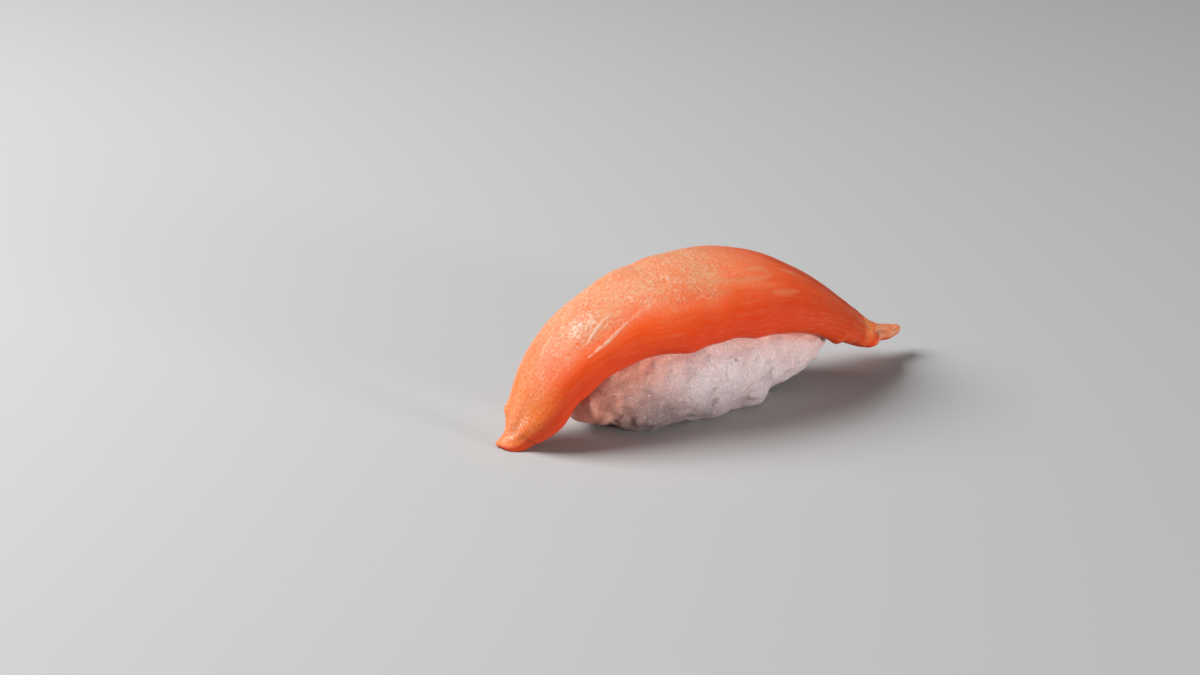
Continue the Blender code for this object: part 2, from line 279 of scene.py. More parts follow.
def line_on_slice(path, half_width):
    """How near each corner is to a line on the slice: 1 on it, 0 at its half width, which tapers."""
    ends = []
    for run, share in path:
        ring = np.argmin(np.abs(runs[:, 0] - run))
        ends.append(rings[ring, np.argmin(np.abs(shares[ring] - share) + (depths[ring] > 0.5))])
    places, done = rings.reshape(-1, 3), 0.0
    nearest, along = np.full(len(places), 1.0), np.zeros(len(places))
    for start, stop in zip(ends, ends[1:]):
        way = stop - start
        t = np.clip(((places - start) @ way) / (way @ way), 0, 1)
        away = np.linalg.norm(places - start - t[:, None] * way, axis=-1)
        along = np.where(away < nearest, done + t * np.linalg.norm(way), along)
        nearest = np.minimum(nearest, away)
        done += np.linalg.norm(way)
    return np.clip(1 - nearest / (half_width * (0.3 + 0.7 * np.sin(math.pi * along / done))), 0, 1)


def hump(values, middle, spread):
    return np.exp(-(((values - middle) / spread) ** 2))


def along_path(path, spread):
    """1 along a path on the slice, less to both sides of it."""
    return hump(share_flat, np.interp(run_flat, *np.array(path).T), spread)


def stretch_of_run(rise, fall):
    return smoothstep(*rise, run_flat) * (1 - smoothstep(*fall, run_flat))


def mound(along, across, height):
    return height * hump(run_flat, *along) * hump(share_flat, *across)


def waves(squeeze, size, height, seed):
    return soft_noise(flesh_place * squeeze, size * MM, seed) * height * MM


rings, runs, shares, depths, slice_tips, slice_run = slice_surface()
salmon_mesh = lofted("salmon_flesh", rings, slice_tips)
flesh_place = np.stack([runs * slice_run, shares * USUAL_REACH * MM, depths * USUAL_DEPTH * MM], -1)
flesh_place = flesh_place.reshape(-1, 3)
run_flat, share_flat, depth_flat = runs.ravel(), shares.ravel(), depths.ravel()
upper = 1 - smoothstep(0.45, 0.7, depth_flat)
broken = np.clip(0.8 + 1.8 * soft_noise(rings.reshape(-1, 3), BREAK_SPREAD, 4), 0, 1)
threads = sum(strength * line_on_slice(path, THREAD_HALF_WIDTH) for strength, path in THREADS) * broken
fat_lines = sum(line_on_slice(path, 2 * THREAD_HALF_WIDTH) for path in FAT_LINES)
ridge = along_path(FOOT_RIDGE, 0.12) * stretch_of_run(*RIDGE_RUN)
crease = along_path(FOOT_CREASE, 0.11) * stretch_of_run(*CREASE_RUN)
hem = smoothstep(0.75, 1.0, np.abs(share_flat)) * waves(*HEM_WAVES)
hem += HEM_BUMP_HEIGHT * hump(run_flat, 0.821, 0.012) * smoothstep(-0.84, -0.97, share_flat)
torn = smoothstep(0.80, 0.88, run_flat) * soft_noise(rings.reshape(-1, 3), TORN_SPREAD, 6) * TORN_HEIGHT
torn *= 1 - 0.7 * smoothstep(-0.1, 0.3, share_flat)
strand_ridges = (0.25 * hump(share_flat, -0.28, 0.2) - 0.30 * hump(share_flat, -0.62, 0.16)) * MM
strand_ridges *= stretch_of_run(*STRAND_RUN)
body = (waves(*SWELLS) + waves(*FOLDS) + waves(*FINE_FOLDS) + hem) * stretch_of_run(*BODY_RUN)
relief = upper * (body + torn + strand_ridges + mound(*SHOULDER) + mound(*NUB))
relief += upper * (np.clip(threads, 0, 1) * THREAD_HEIGHT + (ridge - 0.3 * crease) * RIDGE_HEIGHT)
corners = np.array([v.co for v in salmon_mesh.vertices])
normals = np.array([n.vector for n in salmon_mesh.vertex_normals])
corners[: len(relief)] += normals[: len(relief)] * relief[:, None]
corners[:, 2] = np.maximum(corners[:, 2], 0.0)
salmon_mesh.vertices.foreach_set("co", corners.ravel())
wander = WANDER * soft_noise(flesh_place * (1.0, 1.2, 1.0), WANDER_SPREAD, 7)
# A frosty grain on the back with a painted sheen: a pale band where the soft box shines on the upper side.
frost_and_painted_sheen = upper * smoothstep(-0.72, -0.27, share_flat + wander)
frost_and_painted_sheen *= np.interp(run_flat, *np.array(FROST_AND_SHEEN_ALONG).T)
frost_and_painted_sheen = np.maximum(frost_and_painted_sheen, 0.75 * smoothstep(0.92, 0.935, run_flat) * upper)
# Painted glints: a bright patch and spot on the back and a bright streak along the foot's crease.
painted_glint = upper * (mound(*GLINT_PATCH) + crease + mound(*GLINT_SPOT))
# Painted shade: a dark red band along the far rim, where the slice turns away, darkest just past the rim's
# line.
past_rim = share_flat - np.interp(run_flat, *np.array(FAR_RIM).T)
painted_rim_shade = (0.22 * smoothstep(-0.14, 0.26, past_rim) + 0.42 * hump(past_rim, 0.03, 0.06)) * upper
painted_rim_shade *= smoothstep(0.42, 0.66, run_flat)
# Painted highlights in amber: a stripe along the foot's near side and a spot on the tail's end.
amber_highlight = (1 - smoothstep(0.10, 0.20, run_flat)) * smoothstep(-0.85, -0.62, share_flat) * 0.75
amber_highlight += mound(*TAIL_AMBER_HIGHLIGHT)
# Painted shade: the tail, which is turned from the light, is darker, and the foot is darker too.
painted_end_shade = stretch_of_run(*END_SHADE_RUN)
painted_end_shade += 0.62 * (1 - smoothstep(0.08, 0.22, run_flat))


def store(data, name, values):
    """Keeps a number or a vector for each corner of a mesh; the tips that close it take zero."""
    values = np.asarray(values, float)
    whole = np.zeros((len(data.vertices), *values.shape[1:]))
    whole[: len(values)] = values
    kind, key = ("FLOAT_VECTOR", "vector") if values.ndim > 1 else ("FLOAT", "value")
    data.attributes.new(name, kind, "POINT").data.foreach_set(key, whole.ravel())


store(salmon_mesh, "flesh", flesh_place)
store(salmon_mesh, "frost_and_sheen", frost_and_painted_sheen)
store(salmon_mesh, "painted_glint", np.clip(painted_glint, 0, 1))
store(salmon_mesh, "painted_end_shade", painted_end_shade)
store(salmon_mesh, "thread", np.clip(threads, 0, 1) * upper)
store(salmon_mesh, "fat", np.clip(fat_lines, 0, 1) * upper)
store(salmon_mesh, "painted_rim_shade", painted_rim_shade)
store(salmon_mesh, "amber_highlight", np.clip(amber_highlight, 0, 1) * upper)
# The side that the painted shade reads, shifted by painted light: a little lighter a third of the way along,
# darker towards the tail.
lit = 0.06 * hump(run_flat, 0.33, 0.08) - 0.10 * smoothstep(0.45, 0.62, run_flat)
store(salmon_mesh, "side", share_flat + lit)
salmon_mesh.shade_smooth()
salmon = bpy.data.objects.new("salmon_flesh", salmon_mesh)
bpy.context.scene.collection.objects.link(salmon)


class Reading:
    """A socket of a finish's node tree. Arithmetic on it adds Math nodes."""

    def __init__(self, finish, socket):
        self.finish, self.socket = finish, socket

    def worked(self, operation, first, second):
        return self.finish.add("ShaderNodeMath", {"operation": operation}, {0: first, 1: second})

    def __add__(self, other):
        return self.worked("ADD", self, other)

    def __sub__(self, other):
        return self.worked("SUBTRACT", self, other)

    def __rsub__(self, other):
        return self.worked("SUBTRACT", other, self)

    def __mul__(self, other):
        return self.worked("MULTIPLY", self, other)

    __radd__ = __add__
    __rmul__ = __mul__


class Finish:
    """A material built node by node around one Principled shader."""

    def __init__(self, name, **constants):
        self.material = bpy.data.materials.new(name)
        self.material.use_nodes = True
        self.tree = self.material.node_tree
        self.shader = self.tree.nodes["Principled BSDF"]
        self.feed(self.shader, constants)

    def feed(self, node, inputs):
        for name, value in inputs.items():
            socket = node.inputs[name.replace("_", " ") if isinstance(name, str) else name]
            if isinstance(value, Reading):
                self.tree.links.new(value.socket, socket)
            else:
                socket.default_value = value

    def add(self, kind, settings, inputs, output=0):
        node = self.tree.nodes.new(kind)
        for name, value in settings.items():
            setattr(node, name, value)
        self.feed(node, inputs)
        return Reading(self, node.outputs[output])

    def stored(self, name, output="Fac"):
        return self.add("ShaderNodeAttribute", {"attribute_name": name}, {}, output)

    def speckle(self, place, scale, detail=2.0, stretch=(1.0, 1.0, 1.0)):
        drawn = self.add("ShaderNodeVectorMath", {"operation": "MULTIPLY"}, {0: place, 1: stretch})
        inputs = {"Vector": drawn, "Scale": scale, "Detail": detail, "Roughness": 0.6}
        return self.add("ShaderNodeTexNoise", {}, inputs, "Fac")

    def between(self, value, low, high, to_low=0.0, to_high=1.0):
        return self.add(
            "ShaderNodeMapRange",
            {"interpolation_type": "SMOOTHSTEP"},
            {"Value": value, "From Min": low, "From Max": high, "To Min": to_low, "To Max": to_high},
            "Result",
        )

    def mixed(self, factor, first, second):
        return self.add("ShaderNodeMix", {"data_type": "RGBA"}, {0: factor, 6: first, 7: second}, 2)

    def bumped(self, height, distance):
        inputs = {"Height": height, "Distance": distance, "Strength": 1.0}
        return self.add("ShaderNodeBump", {}, inputs, "Normal")


flesh = Finish(
    "salmon_flesh",
    IOR=1.40,
    Specular_IOR_Level=0.28,
    Subsurface_Weight=0.35,
    Subsurface_Radius=(1.0, 0.28, 0.10),
    Subsurface_Scale=0.003,
    Coat_Roughness=0.30,
    Coat_IOR=1.38,
)
# The deepest red is painted shade for the hanging near side.
SHADED_SIDE_FLESH = (0.65, 0.048, 0.0095, 1.0)
# A darker red, for dark streaks in the flesh and for the painted shade at the ends.
DARK_STREAK_AND_SHADE_FLESH = (0.53, 0.055, 0.011, 1.0)
BRIGHT_FLESH = (0.94, 0.108, 0.017, 1.0)
# A dark red for the painted shade along the far rim.
RIM_SHADE_FLESH = (0.50, 0.022, 0.004, 1.0)
# A pale orange, for pale streaks, fibres and fat lines in the flesh and for the painted sheen and highlights.
PALE_FLESH_AND_SHEEN = (0.73, 0.375, 0.190, 1.0)
# An amber for the painted highlights at the foot and the tail.
AMBER_HIGHLIGHT_FLESH = (0.92, 0.23, 0.035, 1.0)
# A pale cream for the torn threads and for painted glints.
FAT_WHITE_AND_GLINT = (0.84, 0.63, 0.49, 1.0)
place = flesh.stored("flesh", "Vector")
side = flesh.stored("side")
frost_and_sheen = flesh.stored("frost_and_sheen")
painted_glint = flesh.stored("painted_glint")
cloud = flesh.speckle(place, 160.0, 3.0)
streaks = flesh.speckle(place, 900.0, 3.0, (0.06, 1.0, 1.0))
fibres = flesh.speckle(place, 2600.0, 3.0, (0.10, 1.0, 1.0))
granules = flesh.speckle(flesh.add("ShaderNodeTexCoord", {}, {}, "Object"), 1800.0, 4.0)
clusters = flesh.speckle(place, 420.0, 3.0)
painted_end_shade = flesh.stored("painted_end_shade")
# Painted shade: the hanging near side turns a deeper, darker red, as if turned from the light, and more so at
# the darker ends.
painted_side_shade = flesh.between(side * -1.0 + (cloud - 0.5) * 0.2 + painted_end_shade * 0.12, 0.50, 0.90)
colour = flesh.mixed(painted_side_shade, BRIGHT_FLESH, SHADED_SIDE_FLESH)
# Painted shade darkens the tail and the foot.
colour = flesh.mixed(painted_end_shade * 0.75, colour, DARK_STREAK_AND_SHADE_FLESH)
# Painted shade along the far rim, which also roughens the surface there.
painted_rim_shade_reading = flesh.stored("painted_rim_shade")
colour = flesh.mixed(painted_rim_shade_reading, colour, RIM_SHADE_FLESH)
# Painted highlights in amber at the foot and the tail, with pale granules in them.
amber_highlight_reading = flesh.stored("amber_highlight")
colour = flesh.mixed(amber_highlight_reading * 0.85, colour, AMBER_HIGHLIGHT_FLESH)
colour = flesh.mixed(amber_highlight_reading * flesh.between(granules, 0.48, 0.62, 0.0, 0.40), colour, PALE_FLESH_AND_SHEEN)
calm = 1 - painted_side_shade * 0.72
colour = flesh.mixed(flesh.between(streaks, 0.34, 0.50, 0.19, 0.0) * calm, colour, DARK_STREAK_AND_SHADE_FLESH)
colour = flesh.mixed(flesh.between(streaks, 0.50, 0.70, 0.0, 0.13) * calm, colour, PALE_FLESH_AND_SHEEN)
colour = flesh.mixed(flesh.between(fibres, 0.48, 0.70) * (0.10 + painted_end_shade * painted_end_shade * 0.10), colour, PALE_FLESH_AND_SHEEN)
colour = flesh.mixed(painted_end_shade * flesh.between(granules, 0.36, 0.52, 0.22, 0.0), colour, DARK_STREAK_AND_SHADE_FLESH)
# Painted sheen: the frosted band turns pale, as if lit by the soft box, broken by its frosty grain.
colour = flesh.mixed(frost_and_sheen * flesh.between(cloud, 0.2, 0.7, 0.50, 0.90), colour, PALE_FLESH_AND_SHEEN)
colour = flesh.mixed(frost_and_sheen * flesh.between(granules, 0.32, 0.49, 0.54, 0.0), colour, BRIGHT_FLESH)
# Painted glints: bright granules over the sheen band and over the glint patch, spot and crease.
painted_glint_granules = frost_and_sheen * flesh.between(clusters, 0.35, 0.68, 0.12, 0.64) + painted_glint * 0.9
colour = flesh.mixed(painted_glint_granules * flesh.between(granules, 0.46, 0.66), colour, FAT_WHITE_AND_GLINT)
colour = flesh.mixed(flesh.stored("fat") * 0.36, colour, PALE_FLESH_AND_SHEEN)
colour = flesh.mixed(flesh.stored("thread") * 0.85, colour, FAT_WHITE_AND_GLINT)
rough = flesh.between(streaks, 0.3, 0.7, 0.32, 0.42) + frost_and_sheen * 0.10 + painted_rim_shade_reading * 0.45
relief_bump = granules * (frost_and_sheen * 2.0 + painted_glint + 0.15) + streaks * calm * 0.5 + fibres * 0.25
flesh.feed(
    flesh.shader,
    {
        "Base Color": colour,
        "Roughness": rough,
        "Coat Weight": frost_and_sheen * 0.12 + painted_glint * 0.35,
        "Normal": flesh.bumped(relief_bump, 0.00020),
    },
)
salmon_mesh.materials.append(flesh.material)
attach(salmon, "root")
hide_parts("salmon_slice")

# The heart of the rice: the pressed, sticky mass behind the grains that show. It is moulded by hand, so it is
# rounded like a boat and flat only where it stands.
HEART_SEGMENTS, HEART_RINGS = 380, 190
HEART_SWELL = 0.40 * MM
HEART_CLEARANCE = 0.25 * MM
LUMP_SPREAD, LUMP_HEIGHT = 4.4 * MM, 0.78 * MM
DIMPLE_SPREAD, DIMPLE_HEIGHT = 2.2 * MM, 0.2 * MM
LUMPS_START = (-32.0 * MM, -24.0 * MM)  # the lumps flatten out towards the end beside the slice's foot
# x of each lobe and hollow along the bottom of the near side, and how far it stands out (mm)
LOBES = ((-34.0, 1.4), (-29.5, 2.0), (-26.5, 1.3), (-22.5, -0.5), (-19.5, 0.8), (-16.5, 1.8), (-13.5, 0.6))
LOBES += ((-9.0, 0.5), (-3.0, 0.9), (3.0, 0.5), (6.5, 1.1), (8.5, -0.2), (12.0, -0.8), (18.0, -1.1))
LOBES += ((24.0, -0.4),)
LOBES_FADE = (2.5 * MM, 7.0 * MM)  # the heights between which they fade out
LOBES_NEAR = (-4.0 * MM, 2.0 * MM)  # how far to the near side of the middle they set in


def rice_point(turn, rise):
    """The point of the rice block at a turn about +Z and a rise above its belly, both in radians."""
    flat = signed_power(math.cos(rise), 2 / RICE_RISE_POWER)
    up = signed_power(math.sin(rise), 2 / RICE_RISE_POWER)
    reach = RICE_TOP_HEIGHT - RICE_BELLY_HEIGHT if rise > 0 else RICE_BELLY_HEIGHT + RICE_KEEL_DEPTH
    height = RICE_BELLY_HEIGHT + reach * up
    along = RICE_HALF_LENGTH * flat * signed_power(math.cos(turn), 2 / RICE_PLAN_POWER)
    across = RICE_HALF_WIDTH * flat * signed_power(math.sin(turn), 2 / RICE_PLAN_POWER)
    return Vector((RICE_MIDDLE_X + keel_shift(height) + along, MIDDLE_Y + across, height))


def lump_at(point):
    """How far the pressed rice bulges at a point, with the lobes along the bottom of the near side."""
    lobe = np.interp(point[0], *np.array(LOBES).T * MM) * (1 - smoothstep(*LOBES_FADE, point[2]))
    lobe *= smoothstep(*LOBES_NEAR, MIDDLE_Y - point[1])
    return float(noise.noise(point / LUMP_SPREAD) * LUMP_HEIGHT * smoothstep(*LUMPS_START, point[0]) + lobe)


def surface_of(data):
    """A mesh's faces in a form that finds the nearest one, or the one that a ray meets."""
    return BVHTree.FromPolygons([v.co for v in data.vertices], [tuple(p.vertices) for p in data.polygons])


skin = surface_of(salmon_mesh)
rises = [math.pi * ((k + 1) / (HEART_RINGS + 1) - 0.5) for k in range(HEART_RINGS)]
turns = [2 * math.pi * k / HEART_SEGMENTS for k in range(HEART_SEGMENTS)]
heart_rings = np.array([[rice_point(turn, rise) for turn in turns] for rise in rises])
heart_mesh = lofted("rice_heart", heart_rings, [rice_point(0, -math.pi / 2), rice_point(0, math.pi / 2)])
for corner, normal in zip(heart_mesh.vertices, [n.vector.copy() for n in heart_mesh.vertex_normals]):
    gap = skin.find_nearest(corner.co)[3]
    lump = lump_at(corner.co) + noise.noise(corner.co / DIMPLE_SPREAD) * DIMPLE_HEIGHT
    corner.co += normal * min(HEART_SWELL + lump, gap - HEART_CLEARANCE)
    corner.co.z = max(corner.co.z, 0.0)
heart_mesh.shade_smooth()
heart = bpy.data.objects.new("rice_heart", heart_mesh)
bpy.context.scene.collection.objects.link(heart)

RICE_WHITE = (0.76, 0.65, 0.66, 1.0)
RICE_SHADE = (0.72, 0.56, 0.56, 1.0)
# The orange of painted light bounced from the salmon.
RICE_BOUNCE_ORANGE = (0.90, 0.31, 0.185, 1.0)
# A dark grey-pink for painted shade near the board and for dark mottling.
RICE_MOTTLE_AND_SHADE = (0.25, 0.18, 0.175, 1.0)
RICE_PIT = (0.34, 0.16, 0.11, 1.0)
# A near white for milky mottling and for painted glints.
STARCH_AND_GLINT = (0.95, 0.88, 0.85, 1.0)
rice = Finish(
    "cooked_rice",
    IOR=1.40,
    Subsurface_Weight=0.5,
    Subsurface_Radius=(1.0, 1.0, 1.0),
    Subsurface_Scale=0.0006,
    Coat_Weight=0.15,
    Coat_Roughness=0.20,
)
place = rice.add("ShaderNodeTexCoord", {}, {}, "Object")
cloud = rice.speckle(place, 260.0, 3.0)
starch = rice.speckle(place, 1500.0, 3.0)
milky = rice.speckle(place, 2600.0, 3.0)
stirred = rice.add("ShaderNodeTexNoise", {}, {"Vector": place, "Scale": 700.0, "Detail": 2.0}, "Color")
stirring = {0: stirred, 1: (0.003,) * 3, 2: place}
stirred = rice.add("ShaderNodeVectorMath", {"operation": "MULTIPLY_ADD"}, stirring)
pits = rice.add("ShaderNodeTexVoronoi", {}, {"Vector": stirred, "Scale": 190.0}, "Distance")
painted_glint_specks = rice.add("ShaderNodeTexVoronoi", {}, {"Vector": place, "Scale": 360.0}, "Distance")
colour = rice.mixed(rice.between(cloud, 0.35, 0.68, 0.0, 0.7), RICE_WHITE, RICE_SHADE)
# Painted light: the salmon's orange bounced onto the rice beside the slice and at its foot.
colour = rice.mixed(rice.stored("painted_bounce"), colour, RICE_BOUNCE_ORANGE)
# Painted shade: the rice darkens towards the board, most near the foot.
colour = rice.mixed(rice.stored("painted_contact_shade"), colour, RICE_MOTTLE_AND_SHADE)
colour = rice.mixed(rice.between(milky, 0.36, 0.60, 0.22, 0.0), colour, RICE_MOTTLE_AND_SHADE)
colour = rice.mixed(rice.between(milky, 0.55, 0.72, 0.0, 0.35), colour, STARCH_AND_GLINT)
colour = rice.mixed(rice.between(pits, 0.05, 0.14, 0.6, 0.0), colour, RICE_PIT)
# Painted glints: tiny white specks scattered over the rice.
colour = rice.mixed(rice.between(painted_glint_specks, 0.05, 0.09, 0.8, 0.0), colour, STARCH_AND_GLINT)
rice.feed(
    rice.shader,
    {
        "Base Color": colour,
        "Roughness": rice.between(starch, 0.3, 0.7, 0.30, 0.48),
        "Normal": rice.bumped(starch + cloud, 0.00010),
    },
)
heart_mesh.materials.append(rice.material)
# Painted light bounced from the salmon: how far it reaches from the slice, where it sets in towards the foot,
# and how strong it is.
BOUNCE_DEPTH = 2.6 * MM
BOUNCE_END = (-6.0 * MM, -26.0 * MM)
BOUNCE_BESIDE, BOUNCE_AT_FOOT, BOUNCE_MOST = 0.7, 0.8, 0.85
# x, how strong the painted shade is on the rice at the board there, and how far up it reaches (mm)
CONTACT_SHADE_TABLE = ((-28, 0.0, 16), (-24, 0.55, 18), (-21, 0.8, 17), (-15, 1.3, 13), (-8, 0.85, 10), (5, 0.5, 11))
CONTACT_SHADE_X, CONTACT_SHADE_MOST, CONTACT_SHADE_REACH = np.array(CONTACT_SHADE_TABLE).T
CONTACT_SHADE_ALONG = ((CONTACT_SHADE_X * MM, CONTACT_SHADE_MOST), (CONTACT_SHADE_X * MM, CONTACT_SHADE_REACH * MM))


def painted_bounce_at(point):
    """How much painted light bounced from the salmon tints the rice at a point: most beside the slice and at
    the foot.
    """
    beside = math.exp(-skin.find_nearest(point)[3] / BOUNCE_DEPTH)
    at_foot = float(smoothstep(0, 1, (point[0] - BOUNCE_END[0]) / (BOUNCE_END[1] - BOUNCE_END[0])))
    return min(BOUNCE_MOST, BOUNCE_BESIDE * beside + BOUNCE_AT_FOOT * at_foot)


def painted_contact_shade_at(point):
    """How much painted shade darkens the rice at a point: most towards the board, and most of all near the
    foot.
    """
    most, reach = (np.interp(point[0], *column) for column in CONTACT_SHADE_ALONG)
    return min(1.0, float(most * (1 - smoothstep(0, reach, point[2]))))


store(heart_mesh, "painted_bounce", [painted_bounce_at(v.co) for v in heart_mesh.vertices])
store(heart_mesh, "painted_contact_shade", [painted_contact_shade_at(v.co) for v in heart_mesh.vertices])
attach(heart, "root")
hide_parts("sushi_rice")

# The grains that show: cooked short grains, swollen and sticky, pressed flat against the heart by hand. Each
# one lies where it finds room, clear of the salmon.
GRAIN_LENGTH = 6.2 * MM
GRAIN_WIDTH = 2.9 * MM
GRAIN_SINK = 0.62 * MM
GRAIN_PITCH = 2.15 * MM
GRAIN_TRIES = 26000
GRAIN_TILT = math.radians(20.0)
GRAIN_SEED = 11
GRAIN_SIZES = (0.90, 1.05)  # the smallest and the largest, as shares of the usual one
GRAIN_CLEARANCE = 0.12 * MM
GRAIN_LOWEST = 0.4 * MM  # how high above the board the lowest grains lie
GRAIN_PRESSED = 0.2 * MM  # how much of a grain the board may press flat
GRAIN_SEGMENTS, GRAIN_RINGS = 10, 8
GRAIN_KINDS = (("grain_plump", 0.0, 0.0), ("grain_bent", 0.09, -0.05), ("grain_blunt", -0.04, 0.14))
SLOPE_STEP = 0.001


def grain_object(name, bend, blunt):
    """One cooked grain along Z, 1 long and 1 thick: how far it bends, and how much fuller its top is."""
    mesh = bmesh.new()
    bmesh.ops.create_uvsphere(mesh, u_segments=GRAIN_SEGMENTS, v_segments=GRAIN_RINGS, radius=0.5)
    for corner in mesh.verts:
        up = corner.co.z * 2
        swell = 1 + blunt * up
        corner.co.x = corner.co.x * swell + bend * (1 - up * up)
        corner.co.y *= swell
    data = bpy.data.meshes.new(name)
    mesh.to_mesh(data)
    mesh.free()
    data.shade_smooth()
    return bpy.data.objects.new(name, data)


def scattered_grains():
    """Where the grains lie, how they are turned, their size, and the painted light bounced onto them from the
    salmon.
    """
    draw = np.random.default_rng(GRAIN_SEED)
    probe = np.array([v.co for v in grain_object("probe", 0.0, 0.0).data.vertices])
    probe *= (GRAIN_WIDTH, GRAIN_WIDTH, GRAIN_LENGTH)
    feet, centres, turns_of, sizes, painted_bounces = [], np.empty((0, 3)), [], [], []
    for _ in range(GRAIN_TRIES):
        turn, rise = draw.uniform(0, 2 * math.pi), math.asin(draw.uniform(-1, 1))
        spin, tilt = draw.uniform(0, math.pi), draw.uniform(-1, 1) * GRAIN_TILT
        size = draw.uniform(*GRAIN_SIZES)
        foot = rice_point(turn, rise)
        if foot.z < GRAIN_LOWEST or (np.linalg.norm(centres - foot, axis=1) < GRAIN_PITCH).any():
            continue
        along_turn = rice_point(turn + SLOPE_STEP, rise) - rice_point(turn - SLOPE_STEP, rise)
        along_rise = rice_point(turn, rise + SLOPE_STEP) - rice_point(turn, rise - SLOPE_STEP)
        out = along_turn.cross(along_rise).normalized()
        flat = Matrix.Rotation(spin, 3, out) @ along_turn.normalized()
        axis = (Matrix.Rotation(tilt, 3, out.cross(flat)) @ flat).normalized()
        across = out.cross(axis).normalized()
        turned = Matrix((across, axis.cross(across), axis)).transposed()
        centre = foot - out * (GRAIN_SINK - lump_at(foot))
        body = probe * size @ np.array(turned).T + centre
        if (body[:, 2] < -GRAIN_PRESSED).any() or not clear_of_salmon(body):
            continue
        centres = np.vstack([centres, foot])
        feet.append(centre)
        turns_of.append(turned.to_euler())
        sizes.append(size)
        painted_bounces.append(painted_bounce_at(centre))
    return feet, turns_of, sizes, painted_bounces


def clear_of_salmon(body):
    for corner in body:
        point = Vector(corner)
        near, normal, _, distance = skin.find_nearest(point)
        if distance < GRAIN_CLEARANCE or (point - near).dot(normal) < 0:
            return False
    return True


feet, turns_of, sizes, painted_bounces = scattered_grains()
bed_mesh = bpy.data.meshes.new("grain_bed")
bed_mesh.from_pydata(feet, [], [])
store(bed_mesh, "lie", np.array(turns_of))
store(bed_mesh, "size", sizes)
store(bed_mesh, "painted_bounce", painted_bounces)
store(bed_mesh, "painted_contact_shade", [painted_contact_shade_at(foot) for foot in feet])
bed = bpy.data.objects.new("rice_grains", bed_mesh)
bpy.context.scene.collection.objects.link(bed)
kinds = bpy.data.collections.new("grain_kinds")
for name, bend, blunt in GRAIN_KINDS:
    kinds.objects.link(grain_object(name, bend, blunt))


def grain_tree():
    """Sets a grain on each point of the bed, turned as the point says, and makes them real."""
    tree = bpy.data.node_groups.new("grains_on_bed", "GeometryNodeTree")
    face = tree.interface
    face.new_socket("Bed", in_out="INPUT", socket_type="NodeSocketGeometry")
    for name, kind, value in (
        ("Grain length", "NodeSocketFloat", GRAIN_LENGTH),
        ("Grain width", "NodeSocketFloat", GRAIN_WIDTH),
        ("Seed", "NodeSocketInt", GRAIN_SEED),
    ):
        face.new_socket(name, in_out="INPUT", socket_type=kind).default_value = value
    face.new_socket("Finish", in_out="INPUT", socket_type="NodeSocketMaterial")
    face.new_socket("Grains", in_out="OUTPUT", socket_type="NodeSocketGeometry")

    def add(kind, settings=None, inputs=None):
        node = tree.nodes.new(kind)
        for name, value in (settings or {}).items():
            setattr(node, name, value)
        for name, value in (inputs or {}).items():
            if isinstance(value, bpy.types.NodeSocket):
                tree.links.new(value, node.inputs[name])
            else:
                node.inputs[name].default_value = value
        return node

    given = add("NodeGroupInput").outputs
    lie = add("GeometryNodeInputNamedAttribute", {"data_type": "FLOAT_VECTOR"}, {"Name": "lie"})
    size = add("GeometryNodeInputNamedAttribute", {"data_type": "FLOAT"}, {"Name": "size"})
    turned = add("FunctionNodeEulerToRotation", inputs={0: lie.outputs["Attribute"]})
    width, length = given["Grain width"], given["Grain length"]
    shape = add("ShaderNodeCombineXYZ", inputs={0: width, 1: width, 2: length})
    sizing = {0: shape.outputs[0], "Scale": size.outputs["Attribute"]}
    scaled = add("ShaderNodeVectorMath", {"operation": "SCALE"}, sizing)
    drawing = {"Min": 0, "Max": len(GRAIN_KINDS) - 1, "Seed": given["Seed"]}
    drawn = add("FunctionNodeRandomValue", {"data_type": "INT"}, drawing)
    choice = add(
        "GeometryNodeCollectionInfo",
        inputs={"Collection": kinds, "Separate Children": True, "Reset Children": True},
    )
    placed = add(
        "GeometryNodeInstanceOnPoints",
        inputs={
            "Points": given["Bed"],
            "Instance": choice.outputs["Instances"],
            "Pick Instance": True,
            "Instance Index": drawn.outputs[2],
            "Rotation": turned.outputs[0],
            "Scale": scaled.outputs[0],
        },
    )
    real = add("GeometryNodeRealizeInstances", inputs={"Geometry": placed.outputs[0]})
    finishing = {"Geometry": real.outputs[0], "Material": given["Finish"]}
    finished = add("GeometryNodeSetMaterial", inputs=finishing)
    tree.links.new(finished.outputs[0], add("NodeGroupOutput").inputs[0])
    return tree


scatter = bed.modifiers.new("grains", "NODES")
scatter.node_group = grain_tree()
sockets = {s.name: s.identifier for s in scatter.node_group.interface.items_tree if s.in_out == "INPUT"}
scatter[sockets["Finish"]] = rice.material
bpy.context.view_layer.update()
grains_mesh = bpy.data.meshes.new_from_object(bed.evaluated_get(bpy.context.evaluated_depsgraph_get()))
bed.modifiers.clear()
bed.data = grains_mesh
for corner in grains_mesh.vertices:
    corner.co.z = max(corner.co.z, 0.0)

# Sticky starch fills the gaps: the heart rises round the grains, and only their backs stand clear of it.
STARCH_REACH = 4.0 * MM
STARCH_BELOW = -0.02 * MM  # how far under the grains' backs the film ends
STARCH_BARE = 0.14 * MM  # how much lower it lies on the far side
STARCH_BARE_FROM = 6 * MM  # how far past the middle it lies as low as that
STARCH_FILLS, STARCH_SOFTENINGS = 6, 2
crust = surface_of(grains_mesh)
normals = [n.vector.copy() for n in heart_mesh.vertex_normals][: HEART_RINGS * HEART_SEGMENTS]
raised = np.zeros(len(normals))
for k, normal in enumerate(normals):
    distance = crust.ray_cast(heart_mesh.vertices[k].co + normal * STARCH_REACH, -normal, STARCH_REACH)[3]
    raised[k] = STARCH_REACH - distance if distance else 0.0


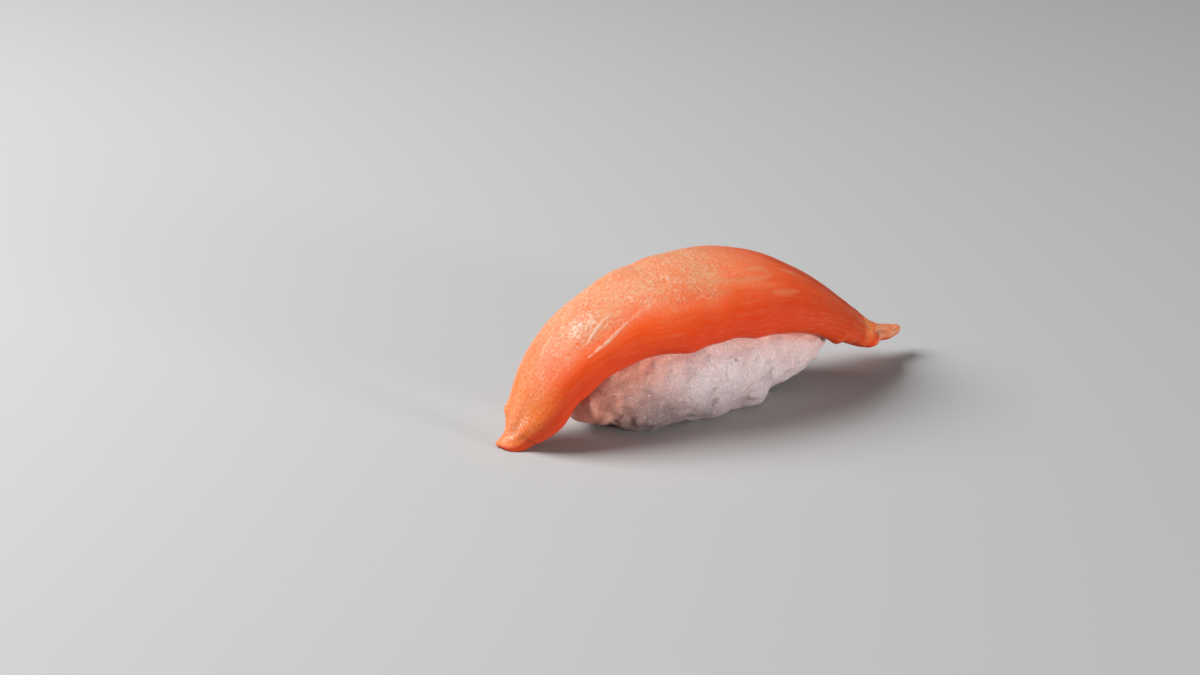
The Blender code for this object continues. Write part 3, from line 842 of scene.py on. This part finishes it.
def softened(heights):
    """The heights with each one drawn a little towards its neighbours."""
    soft = (np.roll(heights, 1, 1) + 2 * heights + np.roll(heights, -1, 1)) / 4
    soft[1:-1] = (soft[:-2] + 2 * soft[1:-1] + soft[2:]) / 4
    return soft


raised = raised.reshape(HEART_RINGS, HEART_SEGMENTS)
for _ in range(STARCH_FILLS):
    raised = np.maximum(raised, softened(raised))
for _ in range(STARCH_SOFTENINGS):
    raised = softened(raised)
for corner, normal, rise in zip(heart_mesh.vertices, normals, raised.ravel()):
    room = skin.find_nearest(corner.co)[3] - HEART_CLEARANCE
    below = STARCH_BELOW + STARCH_BARE * float(smoothstep(0, STARCH_BARE_FROM, corner.co.y - MIDDLE_Y))
    corner.co += normal * min(max(rise - below, 0.0), max(room, 0.0))
    corner.co.z = max(corner.co.z, 0.0)
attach(bed, "root")
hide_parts("sushi_rice")

# The floor: a wide sheet of plain pale paper that the nigiri stands on. It is dull and has no pattern, and it
# isn't part of the object.
FLOOR_REACH = 3.0
floor_mesh = bpy.data.meshes.new("floor")
floor_corners = [(x * FLOOR_REACH, y * FLOOR_REACH, 0) for x, y in ((-1, -1), (1, -1), (1, 1), (-1, 1))]
floor_mesh.from_pydata(floor_corners, [], [(0, 1, 2, 3)])
floor = bpy.data.objects.new("floor", floor_mesh)
bpy.context.scene.collection.objects.link(floor)
paper = Finish("pale_paper", Base_Color=(0.475, 0.48, 0.48, 1.0), Roughness=0.9, Specular_IOR_Level=0.1)
floor_mesh.materials.append(paper.material)


# The lights: one broad soft box above and behind on the left, a weak one low in front, which the moist flesh
# doesn't mirror, and a dim pale room all round.
LIT_SPOT = Vector((0.0, 0.0, 0.012))


def soft_box(name, place, size, power):
    light = bpy.data.lights.new(name, "AREA")
    light.shape, light.size, light.energy = "SQUARE", size, power
    lamp = bpy.data.objects.new(name, light)
    lamp.location = place
    lamp.rotation_euler = (LIT_SPOT - Vector(place)).to_track_quat("-Z", "Y").to_euler()
    bpy.context.scene.collection.objects.link(lamp)
    return lamp


soft_box("key_light", (-0.45, 0.32, 0.55), 0.50, 9.1)
soft_box("front_fill", (0.28, -0.75, 0.10), 0.17, 4.7).visible_glossy = False
room = bpy.data.worlds.new("room")
room.use_nodes = True
room.node_tree.nodes["Background"].inputs["Color"].default_value = (1.0, 0.98, 0.97, 1.0)
room.node_tree.nodes["Background"].inputs["Strength"].default_value = 0.14
bpy.context.scene.world = room
bpy.context.scene.view_settings.view_transform = "Standard"

# The camera: to the left of the slice's front and a little above it, with the piece right of the middle.
AZIMUTH, ELEVATION = math.radians(-31.0), math.radians(22.0)
DISTANCE, LENS, SENSOR = 0.45, 71.5, 36.0
IMAGE_WIDTH = 1200
SEEN_AT = (100.0, 3.0)  # how far right of the picture's middle and below it the target is seen, in its pixels
target = Vector((-1.35 * MM, MIDDLE_Y, 12.0 * MM))
level = math.cos(ELEVATION)
back = Vector((math.sin(AZIMUTH) * level, -math.cos(AZIMUTH) * level, math.sin(ELEVATION)))
right = Vector((math.cos(AZIMUTH), math.sin(AZIMUTH), 0.0))
up = back.cross(right)
pixel = DISTANCE * SENSOR / LENS / IMAGE_WIDTH
aim = target - right * SEEN_AT[0] * pixel + up * SEEN_AT[1] * pixel
lens = bpy.data.cameras.new("camera")
lens.lens, lens.sensor_width = LENS, SENSOR
camera = bpy.data.objects.new("camera", lens)
camera.location = target + back * DISTANCE
turned_back = (camera.location - aim).normalized()
turned_right = up.cross(turned_back).normalized()
turned = Matrix((turned_right, turned_back.cross(turned_right), turned_back)).transposed()
camera.rotation_euler = turned.to_euler()
bpy.context.scene.collection.objects.link(camera)
bpy.context.scene.camera = camera
